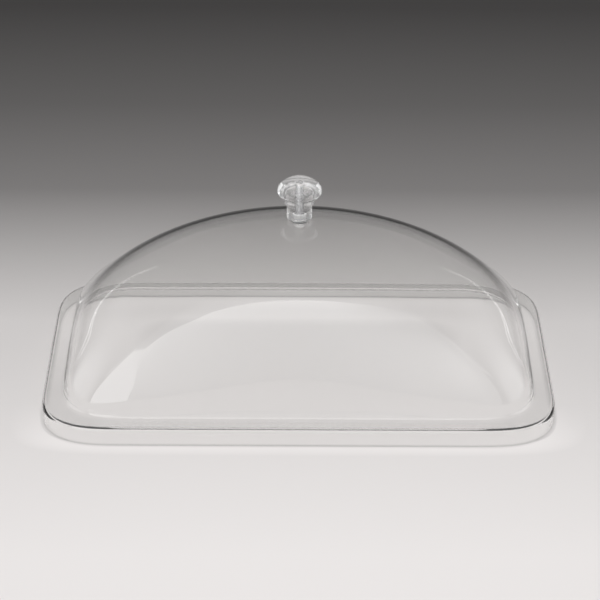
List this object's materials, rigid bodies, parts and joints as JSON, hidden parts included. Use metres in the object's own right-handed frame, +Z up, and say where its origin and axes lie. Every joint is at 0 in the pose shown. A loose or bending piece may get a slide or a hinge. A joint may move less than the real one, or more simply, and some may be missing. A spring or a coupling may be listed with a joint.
{
  "type": "food container lid",
  "caption": "Clear domed rectangular cover with a stepped rim and a turned clear knob screwed on from inside, to keep food on a buffet tray covered and in view.",
  "frame": {"origin": "centre of the rim's lower edge, on the surface that the lid stands on", "axes": "+X along the length, +Y along the width towards the back, +Z up through the knob"},
  "size_m": [0.53, 0.325, 0.2236],
  "materials": {
    "cover_clear": "clear polished moulded plastic",
    "knob_clear": "clear polished turned acrylic",
    "spacer_white": "white nylon",
    "seal_clear": "translucent silicone",
    "stainless": "plain stainless"
  },
  "bodies": {
    "root": {"dome_cover": "cover_clear", "knob": "knob_clear", "knob_spacer": "spacer_white", "sealing_washer": "seal_clear", "steel_washer": "stainless", "knob_screw": "stainless"}
  },
  "joints": []
}
